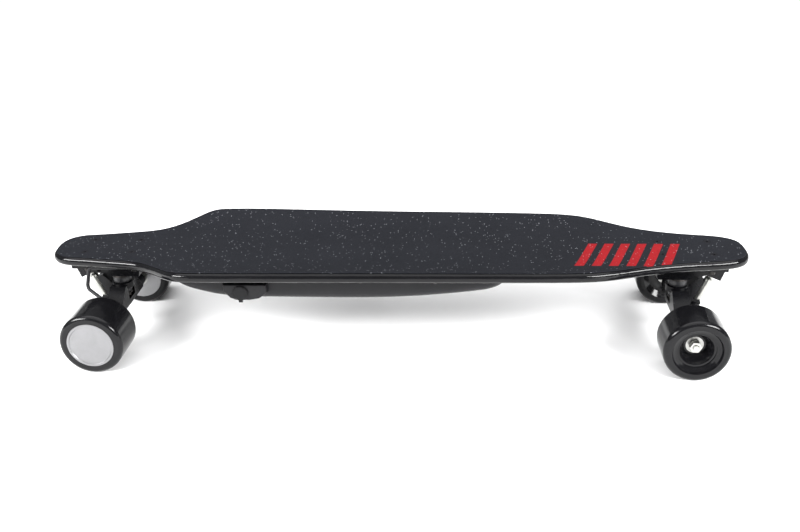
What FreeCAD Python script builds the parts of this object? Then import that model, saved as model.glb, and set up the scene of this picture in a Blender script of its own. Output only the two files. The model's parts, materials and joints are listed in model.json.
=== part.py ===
import FreeCAD, Part
import math
import os
import re

import Sketcher

# Electric skateboard: a maple deck on two trucks, two plain front wheels, two hub-motor rear
# wheels and an underslung tub with the battery and the speed controller.
# Frame: +X to the nose, +Z up, origin on the ground midway between the axles, millimetres.

SIZES = (
    ("axle_x", 382.2), ("axle_up", 41.5), ("deck_top", 123.5), ("deck_thick", 12.5),
    ("rail_radius", 283), ("flat_half", 27), ("deck_round", 5.4), ("grip_thick", 1),
    ("grip_inset", 4), ("riser_thick", 3), ("plate_thick", 6), ("plate_half", 27),
    ("plate_in", 50), ("plate_out", 54), ("bolt_half_y", 20.5), ("bolt_in", 30.5),
    ("bolt_out", 34.5), ("bolt_r", 2.5), ("bolt_head_r", 4.6), ("bolt_long", 28),
    ("bolt_nut", 5), ("nut_flat", 4), ("pivot_out", 42), ("pivot_up", 91), ("pivot_ball", 5),
    ("cup_r", 7.5), ("rod_r", 5.5), ("thread_r", 4), ("neck_r", 3.6), ("lug_r", 8.5),
    ("lug_from", 48), ("lug_thick", 7), ("lug_nut", 5.5), ("ring_in", 3), ("ring_up", 68),
    ("kingpin_r", 4.75), ("head_from", 27), ("ring_r", 15), ("ring_bore", 7), ("ring_half", 4),
    ("bushing_r", 12.5), ("board_bushing", 10), ("road_bushing", 8), ("washer_thick", 2),
    ("washer_r", 12), ("small_washer", 1.6), ("kingpin_nut", 4.6), ("block_half", 13),
    ("hanger_r", 9), ("hanger_half", 66), ("stub_in", 18), ("axle_r", 4), ("fit", 0.05),
    ("gap", 0.3), ("wheel_r", 41.5), ("wheel_face", 130), ("wheel_round", 6),
    ("front_width", 52.5), ("rear_width", 60), ("core_r", 24), ("bearing_r", 11),
    ("bearing_wide", 7), ("bearing_in", 85.8), ("bearing_out", 102.4), ("can_r", 31),
    ("can_wall", 2.8), ("cap_r", 30.5), ("cap_thick", 2.2), ("magnet_thick", 2),
    ("magnet_long", 38), ("stator_r", 25), ("stator_hub", 14), ("stator_long", 36),
    ("stub_r", 6), ("coil_wide", 5.6), ("coil_high", 6.5), ("tub_half", 78), ("tub_wall", 2.5),
    ("tub_round", 15), ("tub_low", 82), ("flange_out", 10), ("screw_r", 2), ("cell_r", 9.1),
    ("cell_long", 65), ("cell_pitch", 18.9), ("cell_first", -118), ("cell_up", 99),
    ("holder_wide", 12), ("board_thick", 1.6), ("port_x", -190.5), ("port_up", 97),
    ("port_r", 10), ("port_face", 86), ("port_deep", 20), ("throat_r", 3.4),
    ("button_x", -136), ("button_r", 8), ("button_throw", 1.2), ("lead_r", 2.5),
    ("lead_side", 31), ("lead_up", 105.6), ("lead_bend", 7), ("lead_entry", 57),
)

doc = FreeCAD.newDocument("ElectricSkateboard")
dims = doc.addObject("Spreadsheet::Sheet", "dims")
for row, (alias, value) in enumerate(SIZES, start=1):
    dims.set("A%d" % row, alias)
    dims.set("B%d" % row, str(value))
    dims.setAlias("B%d" % row, alias)
doc.recompute()

V = FreeCAD.Vector
UPRIGHT = FreeCAD.Rotation()
SIDE = FreeCAD.Rotation(V(1, 0, 0), 90)       # sketch x, y become X, Z; the normal is -Y
END = FreeCAD.Rotation(V(1, 1, 1), 120)       # sketch x, y become Y, Z; the normal is +X
TO_LEFT = FreeCAD.Rotation(V(1, 0, 0), -90)   # turns the Z axis onto +Y
TO_NOSE = FreeCAD.Rotation(V(0, 1, 0), 90)    # turns the Z axis onto +X


def linked(expression):
    """The expression with each size name pointing at the sheet."""
    return re.sub(r"\b([a-z][a-z_]+)\b", r"dims.\1", str(expression))


def size(expression):
    """The present value of an expression made of size names."""
    return float(dims.evalExpression(str(expression)))


def place(x=0, y=0, z=0, turn=UPRIGHT):
    return FreeCAD.Placement(V(x, y, z), turn)


def new_body(label):
    body = doc.addObject("PartDesign::Body", label)
    body.Label = label
    return body


def pin(sketch, item, direction, expression, point=1):
    """Fix one coordinate of a sketch point to an expression."""
    value = size(expression)
    if abs(value) < 1e-9:
        axis = -2 if direction == "DistanceX" else -1
        sketch.addConstraint(Sketcher.Constraint("PointOnObject", item, point, axis))
        return
    rule = Sketcher.Constraint(direction, -1, 1, item, point, value)
    sketch.setExpression("Constraints[%d]" % sketch.addConstraint(rule), linked(expression))


def draw(body, at, loops):
    """A sketch placed from the body's XY plane; a loop is corner expressions or one circle."""
    sketch = body.newObject("Sketcher::SketchObject", "Sketch")
    plane = [f for f in body.Origin.OriginFeatures if f.Role == "XY_Plane"][0]
    sketch.AttachmentSupport = (plane, [""])
    sketch.MapMode = "FlatFace"
    sketch.AttachmentOffset = at
    for loop in loops:
        if loop[0] == "circle":
            centre = V(size(loop[1]), size(loop[2]), 0)
            item = sketch.addGeometry(Part.Circle(centre, V(0, 0, 1), size(loop[3])))
            pin(sketch, item, "DistanceX", loop[1], 3)
            pin(sketch, item, "DistanceY", loop[2], 3)
            rule = Sketcher.Constraint("Radius", item, size(loop[3]))
            sketch.setExpression("Constraints[%d]" % sketch.addConstraint(rule), linked(loop[3]))
            continue
        corners = [V(size(x), size(y), 0) for x, y in loop]
        first = sketch.GeometryCount
        for start, end in zip(corners, corners[1:] + corners[:1]):
            sketch.addGeometry(Part.LineSegment(start, end))
        for step, (x, y) in enumerate(loop):
            before = first + (step - 1) % len(loop)
            sketch.addConstraint(Sketcher.Constraint("Coincident", first + step, 1, before, 2))
            pin(sketch, first + step, "DistanceX", x)
            pin(sketch, first + step, "DistanceY", y)
    return sketch


def feature(body, kind, sketch, length):
    """A Pad or a Pocket of the sketch over a length expression."""
    item = body.newObject("PartDesign::" + kind, kind)
    item.Profile = sketch
    item.Length = size(length)
    item.setExpression("Length", linked(length))
    sketch.Visibility = False
    return item


def pad(body, at, loops, length):
    return feature(body, "Pad", draw(body, at, loops), length)


def pocket(body, at, loops, length):
    return feature(body, "Pocket", draw(body, at, loops), length)


def turn(body, at, loops, kind="Revolution"):
    """A Revolution or a Groove of the loops about the sketch's upright axis."""
    sketch = draw(body, at, loops)
    item = body.newObject("PartDesign::" + kind, kind)
    item.Profile = sketch
    item.ReferenceAxis = (sketch, ["V_Axis"])
    item.Angle = 360
    return item


def turned(label, at, loops, plane=SIDE):
    """A body turned about its own Z axis, or about Y with plane=UPRIGHT."""
    body = new_body(label)
    turn(body, place(turn=plane), loops)
    body.Placement = at
    return body


def round_edges(body, base, names, radius):
    item = body.newObject("PartDesign::Fillet", "Fillet")
    item.Base = (base, names)
    item.Radius = size(radius)
    item.setExpression("Radius", linked(radius))
    return item


def ring_edges(shape, radius):
    """Names of the full circles of this radius."""
    found = []
    for number, edge in enumerate(shape.Edges, start=1):
        if isinstance(edge.Curve, Part.Circle) and abs(edge.Curve.Radius - radius) < 1e-6:
            found.append("Edge%d" % number)
    return found


def cylinder(name, radius, height, at):
    item = doc.addObject("Part::Cylinder", name)
    item.setExpression("Radius", linked(radius))
    item.setExpression("Height", linked(height))
    item.Placement = at
    return item


def box(name, long, wide, high, at):
    item = doc.addObject("Part::Box", name)
    item.setExpression("Length", linked(long))
    item.setExpression("Width", linked(wide))
    item.setExpression("Height", linked(high))
    item.Placement = at
    return item


def cut(name, base, tool):
    item = doc.addObject("Part::Cut", name)
    item.Base = base
    item.Tool = tool
    return item


def common(name, first, second):
    item = doc.addObject("Part::Common", name)
    item.Base = first
    item.Tool = second
    return item


def fuse(name, *members):
    item = doc.addObject("Part::MultiFuse", name)
    item.Shapes = list(members)
    item.Refine = True
    return item


def group(label, members):
    """One node made of separate like solids."""
    item = doc.addObject("Part::Compound", label)
    item.Label = label
    item.Links = list(members)
    return item


def hex_nut(name, half_flat, bore, height, at):
    """A hexagon nut with its base at the placement."""
    prism = doc.addObject("Part::Prism", name + "_blank")
    prism.Polygon = 6
    prism.setExpression("Circumradius", linked(half_flat) + " / cos(30)")
    prism.setExpression("Height", linked(height))
    prism.Placement = at
    return cut(name, prism, cylinder(name + "_bore", bore, height, at))


NODES = []


def keep(item):
    """Name a finished sub-part as one that is written out."""
    NODES.append(item)
    return item


# ---------------------------------------------------------------- deck and grip
# The deck is pressed maple with raised rails: flat along the middle and curved up on both sides.
# Half widths at stations along the deck, tail to nose: narrow over the trucks so that the wheels
# have room, wide where the rider stands.
TAIL_TIP = ((-464, 0), (-462.5, 15), (-456, 28), (-443, 37.5))
TAIL_NECK = ((-417, 42.5), (-385, 47.5), (-351, 53.5), (-328, 61.5), (-307, 77), (-288, 95))
WAIST = ((-270, 108), (-245, 112), (-180, 111.5), (-60, 107.5), (80, 104.5), (200, 101.5), (240, 98.5))
NOSE_NECK = ((268, 92), (297, 79), (328, 65), (360, 55), (395, 48), (425, 43.5))
NOSE_TIP = ((444, 38), (457, 28), (462.7, 15), (464, 0))
OUTLINE = TAIL_TIP + TAIL_NECK + WAIST + NOSE_NECK + NOSE_TIP


def outline_curve(inset):
    """The closed deck outline, moved inward by the inset."""
    upper = [V(x, y, 0) for x, y in OUTLINE]
    lower = [V(x, -y, 0) for x, y in OUTLINE[1:-1]]
    points = upper + lower[::-1]
    moved = []
    for step, point in enumerate(points):
        along = points[(step + 1) % len(points)] - points[step - 1]
        inward = V(along.y, -along.x, 0).normalize()
        moved.append(point + inward * inset)
    curve = Part.BSplineCurve()
    curve.interpolate(moved, PeriodicFlag=True)
    return curve


def plan_pad(body, inset, low, high):
    """A pad of the deck outline between two heights."""
    sketch = draw(body, place(z=low), ())
    sketch.addGeometry(outline_curve(inset))
    item = body.newObject("PartDesign::Pad", "Pad")
    item.Profile = sketch
    item.Length = high - low
    return item


def rail_line(level):
    """Arc, flat, arc across the deck at one level of the ply stack, as curves in a sketch."""
    flat = size("flat_half")
    radius = size("rail_radius") - (level - size("deck_top"))
    middle = level + radius
    reach = math.radians(26)
    ends = []
    for side in (-1, 1):
        far = V(side * (flat + radius * math.sin(reach)), middle - radius * math.cos(reach), 0)
        half = V(side * (flat + radius * math.sin(reach / 2)), middle - radius * math.cos(reach / 2), 0)
        ends.append((far, half, V(side * flat, level, 0)))
    left, right = ends
    return [Part.Arc(left[0], left[1], left[2]), Part.LineSegment(left[2], right[2]),
            Part.Arc(right[2], right[1], right[0])], left[0], right[0]


def rail_cut(body, level, above, start, length, kind="Pocket"):
    """Cut away, or build, everything above or below a ply level."""
    sketch = draw(body, place(x=start, turn=END), ())
    curves, left, right = rail_line(level)
    edge = level + (90 if above else -40)
    corners = [right, V(right.x, edge, 0), V(left.x, edge, 0), left]
    for curve in curves:
        sketch.addGeometry(curve)
    for first, second in zip(corners, corners[1:]):
        sketch.addGeometry(Part.LineSegment(first, second))
    item = body.newObject("PartDesign::" + kind, kind)
    item.Profile = sketch
    item.Length = length
    return item


def truck_bolt_spots():
    """Where the eight truck bolts stand."""
    spots = []
    for end in (-1, 1):
        for reach in (size("axle_x - bolt_in"), size("axle_x + bolt_out")):
            for side in (-1, 1):
                spots.append((end * reach, side * size("bolt_half_y")))
    return spots


def tub_screw_spots():
    """Where the tub's screws stand: four pairs along the flanges and one pair at each end."""
    pairs = ((-291, 50), (-225, 83), (-130, 83), (-35, 83), (60, 83), (158, 26))
    return [(x, side * y) for x, y in pairs for side in (-1, 1)]


DECK_UNDER = size("deck_top - deck_thick")
GRIP_TOP = size("deck_top + grip_thick")
ABOVE = 140       # a level clear above the whole board
FAR = 500         # a distance clear beyond both ends


def under_side(y):
    """Height of the deck's underside at a distance from the centre line."""
    over = max(0, abs(y) - size("flat_half"))
    radius = size("rail_radius + deck_thick")
    return DECK_UNDER + radius - math.sqrt(radius ** 2 - over ** 2)


def make_deck():
    body = new_body("deck")
    plan_pad(body, 0, 95, 150)
    rail_cut(body, size("deck_top"), True, FAR, 2 * FAR)
    base = rail_cut(body, DECK_UNDER, False, FAR, 2 * FAR)
    doc.recompute()
    rim = []
    for number, edge in enumerate(base.Shape.Edges, start=1):
        spread = edge.BoundBox
        straight = spread.YLength < 1e-6 and spread.ZLength < 1e-6
        upright = spread.XLength < 1e-6 and spread.YLength < 1e-6
        if not straight and not upright:
            rim.append("Edge%d" % number)
    round_edges(body, base, rim, "deck_round")
    bolts = [("circle", x, y, "bolt_r + 0.2") for x, y in truck_bolt_spots()]
    pocket(body, place(z=ABOVE), bolts, "60")
    heads = [("circle", x, y, "bolt_head_r + 0.2") for x, y in truck_bolt_spots()]
    pocket(body, place(z=ABOVE), heads, "%g - deck_top + 2.2" % ABOVE)
    for x, y in tub_screw_spots():
        pocket(body, place(z=under_side(y) + 7.5), [("circle", x, y, "screw_r")], "20")
    return keep(body)


def make_grip():
    body = new_body("grip_tape")
    plan_pad(body, size("grip_inset"), 110, 150)
    rail_cut(body, GRIP_TOP, True, FAR, 2 * FAR)
    rail_cut(body, size("deck_top"), False, FAR, 2 * FAR)
    heads = [("circle", x, y, "bolt_head_r + 0.4") for x, y in truck_bolt_spots()]
    pocket(body, place(z=ABOVE), heads, "30")
    return keep(body)


def make_truck_bolts():
    """Black countersunk bolts, their heads level with the grip."""
    bolts = []
    for x, y in truck_bolt_spots():
        profile = (("0", "-bolt_long"), ("bolt_r", "-bolt_long"), ("bolt_r", "-2.9"),
                   ("bolt_head_r", "-0.6"), ("bolt_head_r", "0"), ("2", "0"), ("2", "-1.6"),
                   ("0", "-1.6"))
        bolts.append(turned("bolt", place(x, y, GRIP_TOP), (profile,)))
    return keep(group("truck_bolts", bolts))


def make_truck_nuts():
    low = size("deck_top - deck_thick - riser_thick - plate_thick - bolt_nut")
    nuts = [hex_nut("nut", "nut_flat", "bolt_r", "bolt_nut", place(x, y, low))
            for x, y in truck_bolt_spots()]
    return keep(group("truck_nuts", nuts))


# ---------------------------------------------------------------- trucks
# Each truck is drawn about the point on the ground under its axle, +X to the board's end, and
# is set at the nose end or turned half round at the tail end.
HALF_ROUND = FreeCAD.Rotation(V(0, 0, 1), 180)
ENDS = (("front", place(size("axle_x"))), ("rear", place(-size("axle_x"), turn=HALF_ROUND)))
PLATE_TOP = DECK_UNDER - size("riser_thick")
PLATE_LOW = PLATE_TOP - size("plate_thick")
PIVOT = V(size("pivot_out"), 0, size("pivot_up"))
RING = V(-size("ring_in"), 0, size("ring_up"))
ROD_LEAN = FreeCAD.Rotation(V(0, 1, 0), 24.2)
KINGPIN = place(RING.x, 0, RING.z)
ROD = FreeCAD.Placement(PIVOT, ROD_LEAN)
PLATE = [("-plate_in", "-plate_half"), ("plate_out", "-plate_half"),
         ("plate_out", "plate_half"), ("-plate_in", "plate_half")]
PLATE_BOLTS = [("circle", x, y, "bolt_r") for x in ("-bolt_in", "bolt_out")
               for y in ("-bolt_half_y", "bolt_half_y")]


def side_pad(body, corners, half):
    """A pad of side-view corners, centred on the truck's middle plane."""
    return pad(body, place(y=size(half), turn=SIDE), (corners,), "2 * (%s)" % half)


def along(axis, distance):
    """A sketch place square to an axis, a distance along it."""
    return axis.multiply(place(z=size(distance)))


def make_baseplate(end, at):
    """Cast plate with the kingpin block and the wedge-shaped pivot boss under it."""
    body = new_body(end + "_baseplate")
    pad(body, place(z=PLATE_LOW), (PLATE,), "plate_thick")
    top = PLATE_LOW + 1
    seat = size("ring_up + ring_half + board_bushing + washer_thick")
    mouth_in, mouth_out = ROD.multVec(V(-10.5, 0, -5)), ROD.multVec(V(10, 0, -5))
    block = ((-36, top), (-32, seat), (11, seat), (14, 89), (26, 89), (mouth_in.x, mouth_in.z),
             (mouth_out.x, mouth_out.z), ("plate_out", 97), ("plate_out", top))
    side_pad(body, block, "block_half")
    pocket(body, along(ROD, "cup_r"), (("circle", "0", "0", "cup_r"),), "cup_r + 20")
    pocket(body, along(KINGPIN, "35"), (("circle", "0", "0", "kingpin_r"),), "40")
    pocket(body, along(KINGPIN, "60"), (("circle", "0", "0", "2 * kingpin_r"),), "60 - head_from")
    pocket(body, place(z=PLATE_TOP + 5), PLATE_BOLTS, "25")
    body.Placement = at
    return keep(body)


def make_riser(end, at):
    body = new_body(end + "_riser_pad")
    pad(body, place(z=PLATE_TOP), [PLATE] + PLATE_BOLTS, "riser_thick")
    body.Placement = at
    return body


def make_pivot_cup(end, at):
    """Plastic cup: a round seat for the rod's ball end above a plain mouth."""
    body = new_body(end + "_pivot_cup")
    blank = (("0", "-5"), ("cup_r", "-5"), ("cup_r", "cup_r"), ("0", "cup_r"))
    turn(body, place(turn=SIDE), (blank,))
    mouth = (("0", "-6"), ("pivot_ball + 0.6", "-6"), ("pivot_ball + 0.6", "0"), ("0", "0"))
    turn(body, place(turn=SIDE), (mouth,), "Groove")
    seat = body.newObject("PartDesign::SubtractiveSphere", "Seat")
    seat.setExpression("Radius", linked("pivot_ball + fit"))
    body.Placement = at.multiply(ROD)
    return body


def make_kingpin(end, at):
    foot = "-ring_half - road_bushing - small_washer - kingpin_nut - 0.6"
    shank = (("0", foot), ("kingpin_r - 0.6", foot), ("kingpin_r", foot + " + 0.6"),
             ("kingpin_r", "head_from"), ("0", "head_from"))
    shank = turned(end + "_kingpin_shank", at.multiply(KINGPIN), (shank,))
    head = doc.addObject("Part::Prism", "kingpin_head")
    head.Polygon = 6
    head.Circumradius = 8.2
    head.Height = 5
    head.Placement = at.multiply(along(KINGPIN, "head_from"))
    return fuse(end + "_kingpin", shank, head)


def make_kingpin_nut(at):
    low = "-ring_half - road_bushing - small_washer - kingpin_nut"
    seat = at.multiply(along(KINGPIN, low))
    return hex_nut("kingpin_nut", "7.5", "kingpin_r", "kingpin_nut", seat)


def make_kingpin_washers(at):
    """A cupped washer above the board-side bushing and a flat one below the road-side bushing."""
    low, high = "ring_half + board_bushing", "ring_half + board_bushing + washer_thick"
    cupped = (("kingpin_r", low), ("washer_r", low), ("washer_r + 1", low + " - 1.2"),
              ("washer_r + 1.6", low + " - 0.6"), ("washer_r + 0.6", high), ("kingpin_r", high))
    under = "-ring_half - road_bushing"
    flat = (("kingpin_r", under + " - small_washer"), ("washer_r - 1", under + " - small_washer"),
            ("washer_r - 1", under), ("kingpin_r", under))
    return [turned("washer", at.multiply(KINGPIN), (profile,)) for profile in (cupped, flat)]


def make_bushings(end, at):
    """Urethane bushings either side of the hanger ring: a barrel above, a cone below."""
    barrel = (("kingpin_r", "ring_half"), ("bushing_r - 0.7", "ring_half"),
              ("bushing_r", "ring_half + 3"), ("bushing_r", "ring_half + 7"),
              ("bushing_r - 0.7", "ring_half + board_bushing"),
              ("kingpin_r", "ring_half + board_bushing"))
    cone = (("kingpin_r", "-ring_half"), ("bushing_r", "-ring_half"),
            ("bushing_r", "-ring_half - 2"), ("bushing_r - 2.5", "-ring_half - road_bushing"),
            ("kingpin_r", "-ring_half - road_bushing"))
    pieces = [turned("bushing", at.multiply(KINGPIN), (profile,)) for profile in (barrel, cone)]
    return keep(group(end + "_bushings", pieces))


def make_hanger(end, at):
    """Cast hanger: axle bar, thick wings up to the kingpin ring with a round hollow under it, and
    a web out to the lug that holds the pivot rod."""
    body = new_body(end + "_hanger")
    across = place(y=size("hanger_half"), turn=SIDE)
    pad(body, across, (("circle", "0", "axle_up", "hanger_r"),), "2 * hanger_half")
    wing = (("-44", "axle_up - 1"), ("44", "axle_up - 1"), ("44", "axle_up + 6"),
            ("19", "ring_up + 2"), ("-19", "ring_up + 2"), ("-44", "axle_up + 6"))
    pad(body, place(x=-13, turn=END), (wing,), "22")
    ring_foot = along(KINGPIN, "-ring_half")
    pad(body, ring_foot, (("circle", "0", "0", "ring_r"),), "2 * ring_half")
    web = ((-2, 60), (-2, 44), (4, 37), (14, 36), (25, 39.5), (29, 46.5), (27.5, 51),
           (18.5, 52.5), (30.5, 80), (22.5, 83), (13, 73.5), (8, 68))
    side_pad(body, web, "6.5")
    lug_foot = along(ROD, "-lug_from - lug_thick")
    pad(body, lug_foot, (("circle", "0", "0", "lug_r"),), "lug_thick")
    pocket(body, ring_foot, (("circle", "0", "0", "ring_r"),), "16.6")
    pocket(body, along(KINGPIN, "30"), (("circle", "0", "0", "ring_bore"),), "45")
    pocket(body, along(ROD, "0"), (("circle", "0", "0", "rod_r"),), "lug_from")
    pocket(body, along(ROD, "0"), (("circle", "0", "0", "thread_r"),), "80")
    pocket(body, lug_foot, (("circle", "0", "0", "lug_r"),), "20")
    if end == "front":
        pocket(body, place(y=-200, turn=SIDE), (("circle", "0", "axle_up", "axle_r"),), "400")
    else:
        for side in (-1, 1):
            start = place(y=side * size("hanger_half - stub_in"), turn=SIDE)
            bore = pocket(body, start, (("circle", "0", "axle_up", "stub_r"),), "30")
            bore.Reversed = side < 0
        entries = [("circle", "0", side + "lead_entry", "lead_r + gap") for side in ("", "-")]
        pocket(body, place(z=60), entries, "60 - axle_up - stub_r")
    body.Placement = at
    return keep(body)


def make_pivot_rod(end, at):
    """Bright shouldered stud: ball end in the cup, threaded foot through the lug."""
    foot = "-lug_from - lug_thick - lug_nut - 1"
    shank = (("0", foot), ("thread_r - 0.6", foot), ("thread_r", foot + " + 0.6"),
             ("thread_r", "-lug_from"), ("rod_r", "-lug_from"), ("rod_r", "-12"),
             ("neck_r", "-9"), ("neck_r", "0"), ("0", "0"))
    shank = turned(end + "_rod_shank", at.multiply(ROD), (shank,))
    ball = doc.addObject("Part::Sphere", "rod_ball")
    ball.setExpression("Radius", linked("pivot_ball"))
    ball.Placement = at.multiply(ROD)
    item = fuse(end + "_pivot_rod", shank, ball)
    item.Label = end + "_pivot_rod"
    return keep(item)


def make_pivot_nut(end, at):
    seat = at.multiply(along(ROD, "-lug_from - lug_thick - lug_nut"))
    nut = hex_nut(end + "_pivot_nut", "6.5", "thread_r", "lug_nut", seat)
    nut.Label = end + "_pivot_nut"
    return keep(nut)


def make_trucks():
    keep(group("riser_pads", [make_riser(end, at) for end, at in ENDS]))
    keep(group("pivot_cups", [make_pivot_cup(end, at) for end, at in ENDS]))
    keep(group("kingpins", [make_kingpin(end, at) for end, at in ENDS]))
    keep(group("kingpin_nuts", [make_kingpin_nut(at) for _, at in ENDS]))
    washers = [washer for _, at in ENDS for washer in make_kingpin_washers(at)]
    keep(group("kingpin_washers", washers))
    for end, at in ENDS:
        make_baseplate(end, at)
        make_bushings(end, at)
        make_hanger(end, at)
        make_pivot_rod(end, at)
        make_pivot_nut(end, at)


# ---------------------------------------------------------------- front wheels
# Cast urethane on a plastic core with two 608 bearings, held by a lock nut on an 8 mm axle.
SIDES = (("left", 1), ("right", -1))


def wheel_place(x, side):
    """Place of a part drawn along +Y for the left wheel; the right one is turned half round."""
    turned_round = FreeCAD.Rotation(V(0, 0, 1), 0 if side > 0 else 180)
    return place(x, 0, size("axle_up"), turned_round)


def make_front_tyre(name, at):
    inner = "wheel_face - front_width"
    profile = (("core_r", inner + " + 6"), ("core_r + 7", inner), ("wheel_r", inner),
               ("wheel_r", "wheel_face"), ("core_r + 7", "wheel_face"),
               ("core_r + 5.5", "wheel_face - 3.5"), ("core_r + 2.5", "wheel_face - 5"),
               ("core_r", "wheel_face - 6"))
    body = new_body(name + "_tyre")
    base = turn(body, place(turn=UPRIGHT), (profile,))
    doc.recompute()
    round_edges(body, base, ring_edges(base.Shape, size("wheel_r")), "wheel_round")
    body.Placement = at
    return keep(body)


def make_front_core(name, at):
    inner = "wheel_face - front_width"
    profile = (("bearing_r", "bearing_in"), ("bearing_r + 4", "bearing_in"),
               ("core_r - 4", inner + " + 7"), ("core_r", inner + " + 7"),
               ("core_r", "wheel_face - 7"), ("core_r - 3", "wheel_face - 7"),
               ("core_r - 8", "bearing_out + bearing_wide + 3"),
               ("bearing_r + 2.5", "bearing_out + bearing_wide"),
               ("bearing_r", "bearing_out + bearing_wide"), ("bearing_r", "bearing_out"),
               ("bearing_r - 2", "bearing_out"), ("bearing_r - 2", "bearing_in + bearing_wide"),
               ("bearing_r", "bearing_in + bearing_wide"))
    return keep(turned(name + "_core", at, (profile,), UPRIGHT))


def bearing(start, bore, outer, wide, at):
    """A shielded bearing: two races with a recessed shield between them."""
    low, high = "(%s)" % start, "(%s + %s)" % (start, wide)
    race, ring = bore + " + 2", outer + " - 1.6"
    profile = ((bore, low), (race, low), (race, low + " + 0.4"), (ring, low + " + 0.4"),
               (ring, low), (outer, low), (outer, high), (ring, high), (ring, high + " - 0.4"),
               (race, high + " - 0.4"), (race, high), (bore, high))
    return turned("bearing", at, (profile,), UPRIGHT)


def make_front_wheel(side_name, side):
    name = "front_%s" % side_name
    at = wheel_place(size("axle_x"), side)
    make_front_tyre(name, at)
    make_front_core(name, at)
    pair = [bearing(start, "axle_r + fit", "bearing_r", "bearing_wide", at)
            for start in ("bearing_in", "bearing_out")]
    keep(group(name + "_bearings", pair))


def make_front_axle():
    """One 8 mm steel axle through the hanger, with its washers and lock nuts."""
    at = place(size("axle_x"), 0, size("axle_up"))
    tip = "(bearing_out + bearing_wide + 10)"
    profile = (("0", "-" + tip), ("axle_r - 0.6", "-" + tip), ("axle_r", "-" + tip + " + 0.8"),
               ("axle_r", tip + " - 0.8"), ("axle_r - 0.6", tip), ("0", tip))
    keep(turned("front_axle", at, (profile,), UPRIGHT))
    stub = (("axle_r", "hanger_half"), ("hanger_r - 1", "hanger_half"),
            ("6.5", "hanger_half + 10"), ("6", "bearing_in - gap"), ("axle_r", "bearing_in - gap"))
    sleeve_in, sleeve_out = "bearing_in + bearing_wide + gap", "bearing_out - gap"
    sleeve = (("axle_r", sleeve_in), ("6", sleeve_in), ("6", sleeve_out), ("axle_r", sleeve_out))
    washer_in, washer_out = "bearing_out + bearing_wide + gap", "bearing_out + bearing_wide + 1.5"
    washer = (("axle_r", washer_in), ("6", washer_in), ("6", washer_out), ("axle_r", washer_out))
    collars, nuts = [], []
    for _, side in SIDES:
        here = wheel_place(size("axle_x"), side)
        collars += [turned("collar", here, (profile,), UPRIGHT) for profile in (stub, sleeve, washer)]
        seat = here.multiply(place(y=size(washer_out), turn=TO_LEFT))
        nuts.append(hex_nut("axle_nut", "6.5", "axle_r", "6.5", seat))
    keep(group("front_axle_collars", collars))
    keep(group("front_axle_nuts", nuts))


# ---------------------------------------------------------------- hub-motor wheels
# The whole outside turns: urethane sleeve, steel can with magnets, and two aluminium covers. The
# stator with its coils sits still on a stub axle pressed into the hanger.
REAR_IN = "wheel_face - rear_width"


def make_rear_tyre(name, at):
    profile = (("can_r", REAR_IN), ("wheel_r", REAR_IN), ("wheel_r", "wheel_face"),
               ("can_r", "wheel_face"))
    body = new_body(name + "_tyre")
    base = turn(body, place(turn=UPRIGHT), (profile,))
    doc.recompute()
    round_edges(body, base, ring_edges(base.Shape, size("wheel_r")), "wheel_round")
    body.Placement = at
    return keep(body)


def make_can(name, at):
    low, high = REAR_IN + " + cap_thick", "wheel_face - cap_thick"
    profile = (("can_r - can_wall", low), ("can_r", low), ("can_r", high),
               ("can_r - can_wall", high))
    return keep(turned(name + "_can", at, (profile,), UPRIGHT))


def make_magnets(name, at):
    """Fourteen curved magnets inside the can, with small gaps between them."""
    count = 14
    outer, inner = size("can_r - can_wall"), size("can_r - can_wall - magnet_thick")
    start, across = V(0, 81, 0), V(0, 1, 0)
    ring = Part.makeCylinder(outer, size("magnet_long"), start, across)
    ring = ring.cut(Part.makeCylinder(inner, size("magnet_long"), start, across))
    half = math.radians(360 / count * 0.42)
    tip = V(40 * math.cos(half), 0, 40 * math.sin(half))
    corners = [start, start + tip, start + V(tip.x, 0, -tip.z), start]
    wedge = Part.Face(Part.makePolygon(corners)).extrude(across * size("magnet_long"))
    one = ring.common(wedge)
    pieces = []
    for step in range(count):
        copy = one.copy()
        copy.rotate(V(0, 0, 0), V(0, 1, 0), 360 * step / count)
        pieces.append(copy)
    item = doc.addObject("Part::Feature", name + "_magnets")
    item.Label = name + "_magnets"
    item.Shape = Part.makeCompound(pieces)
    item.Placement = at
    return keep(item)


def make_cap(name, at):
    """Outer cover: a dished face inside a raised rim, with the bearing boss behind it."""
    profile = (("0", "wheel_face - 1.1"), ("cap_r - 3.2", "wheel_face - 1.1"),
               ("cap_r - 2.6", "wheel_face - 0.2"), ("cap_r", "wheel_face - 0.2"),
               ("cap_r", "wheel_face - cap_thick"), ("can_r - can_wall", "wheel_face - cap_thick"),
               ("bearing_r + 3", "wheel_face - cap_thick - 1"),
               ("bearing_r + 3", "wheel_face - 9.5"), ("bearing_r", "wheel_face - 9.5"),
               ("bearing_r", "wheel_face - 2.5"), ("0", "wheel_face - 2.5"))
    return keep(turned(name + "_cap", at, (profile,), UPRIGHT))


def make_cover(name, at):
    """Inner cover with the bearing seat around the stub axle."""
    low = REAR_IN
    profile = (("bearing_r", low), ("cap_r", low), ("cap_r", low + " + cap_thick"),
               ("can_r - can_wall", low + " + cap_thick"),
               ("bearing_r + 3", low + " + cap_thick + 1"), ("bearing_r + 3", low + " + 8"),
               ("bearing_r", low + " + 8"))
    return keep(turned(name + "_cover", at, (profile,), UPRIGHT))


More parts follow.
